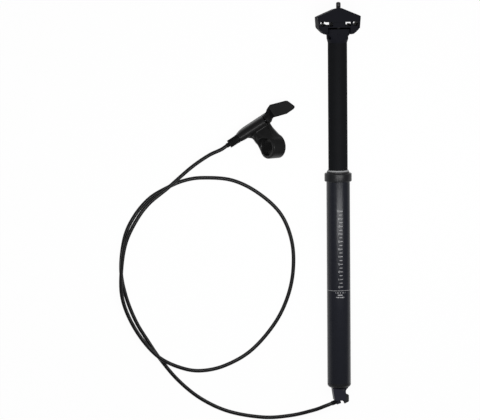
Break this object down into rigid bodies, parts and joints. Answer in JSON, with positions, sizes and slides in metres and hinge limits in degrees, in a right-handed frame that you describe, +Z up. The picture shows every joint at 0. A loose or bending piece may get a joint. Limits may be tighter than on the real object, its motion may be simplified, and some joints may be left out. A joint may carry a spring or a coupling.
{
  "type": "dropper seatpost",
  "caption": "Telescopic bicycle seatpost that lowers the saddle: graduated outer tube, sliding inner tube, rail clamp head, foot actuator, cable and handlebar thumb remote.",
  "frame": {"origin": "on the post's axis at the underside of the collar, where the outer tube enters the frame", "axes": "+Y along the post towards the saddle head, +Z up from the table it lies on, +X to the right"},
  "size_m": [0.3191, 0.5515, 0.0373],
  "materials": {
    "tube_anodised": "satin black anodised",
    "collar_black": "satin black anodised",
    "seal_rubber": "matt rubber with a grey lip",
    "stanchion_black": "gloss black hard anodised",
    "forged_black": "matt black, forged",
    "bushing_polymer": "plain",
    "brass": "turned",
    "bright_steel": "turned",
    "cartridge_alloy": "machined",
    "crank_alloy": "black anodised",
    "black_steel": "black oxide",
    "actuator_black": "satin black anodised",
    "remote_black": "matt black",
    "lever_black": "matt black, fine grip",
    "adjuster_black": "satin black anodised",
    "cable_black": "gloss black sheath"
  },
  "bodies": {
    "outer_post": {"outer_tube": "tube_anodised", "tube_collar": "collar_black", "wiper_seal": "seal_rubber", "upper_bushing": "bushing_polymer", "bottom_plug": "collar_black", "rod_jam_nut": "bright_steel", "piston_rod": "bright_steel", "piston_head": "cartridge_alloy", "actuator_housing": "actuator_black", "crank_pivot_pin": "crank_alloy", "post_ferrule": "adjuster_black", "cable_housing": "cable_black", "remote_ferrule": "adjuster_black", "barrel_adjuster": "adjuster_black", "adjuster_lock_nut": "adjuster_black", "remote_body": "remote_black", "ring_clamp_bolt": "black_steel", "lever_pivot_bolt": "black_steel", "lever_bushing": "brass", "return_spring": "bright_steel"},
    "inner_post": {"stanchion": "stanchion_black", "post_head": "forged_black", "lower_bushing": "bushing_polymer", "anti_rotation_keys": "brass", "cartridge_cylinder": "cartridge_alloy", "cartridge_gland": "cartridge_alloy"},
    "saddle_clamp": {"lower_cradle": "forged_black", "upper_clamp": "forged_black", "clamp_studs": "black_steel", "clamp_nuts": "bright_steel", "nut_washers": "bright_steel", "barrel_nuts": "bright_steel"},
    "thumb_lever": {"lever_paddle": "lever_black", "wire_head": "bright_steel"},
    "crank": {"actuator_crank": "crank_alloy", "wire_anchor_nut": "crank_alloy", "anchor_set_screw": "black_steel"},
    "release": {"release_pin": "bright_steel"},
    "remote_wire": {"wire_end_remote": "bright_steel"},
    "foot_wire": {"wire_end_post": "bright_steel"}
  },
  "joints": [
    {"name": "post_travel", "type": "slide", "parent": "outer_post", "child": "inner_post", "axis": [0, -1, 0], "range_m": [0, 0.165]},
    {"name": "saddle_tilt", "type": "hinge", "parent": "inner_post", "child": "saddle_clamp", "pos_m": [0, 0.209, 0], "axis": [1, 0, 0], "range_deg": [-5, 5]},
    {"name": "lever_press", "type": "hinge", "parent": "outer_post", "child": "thumb_lever", "pos_m": [-0.0932, 0.0838, -0.009], "axis": [-0.5299, 0.848, 0], "range_deg": [0, 20], "stiffness_Nm_per_rad": 0.3},
    {"name": "crank_turn", "type": "hinge", "parent": "outer_post", "child": "crank", "pos_m": [0.0046, -0.276, 0], "axis": [0, 0, 1], "range_deg": [-14, 0]},
    {"name": "release_push", "type": "slide", "parent": "outer_post", "child": "release", "axis": [0, 1, 0], "range_m": [0, 0.0015]},
    {"name": "remote_wire_pull", "type": "slide", "parent": "outer_post", "child": "remote_wire", "axis": [0.848, 0.5299, 0], "range_m": [0, 0.003]},
    {"name": "foot_wire_pull", "type": "slide", "parent": "outer_post", "child": "foot_wire", "axis": [-0.9397, -0.342, 0], "range_m": [0, 0.003]}
  ],
  "couplings": [
    {"joint": "crank_turn", "follows": "lever_press", "ratio": -0.625},
    {"joint": "release_push", "follows": "lever_press", "m_per_rad": 0.002875},
    {"joint": "remote_wire_pull", "follows": "lever_press", "m_per_rad": 0.0075},
    {"joint": "foot_wire_pull", "follows": "lever_press", "m_per_rad": 0.0075}
  ]
}
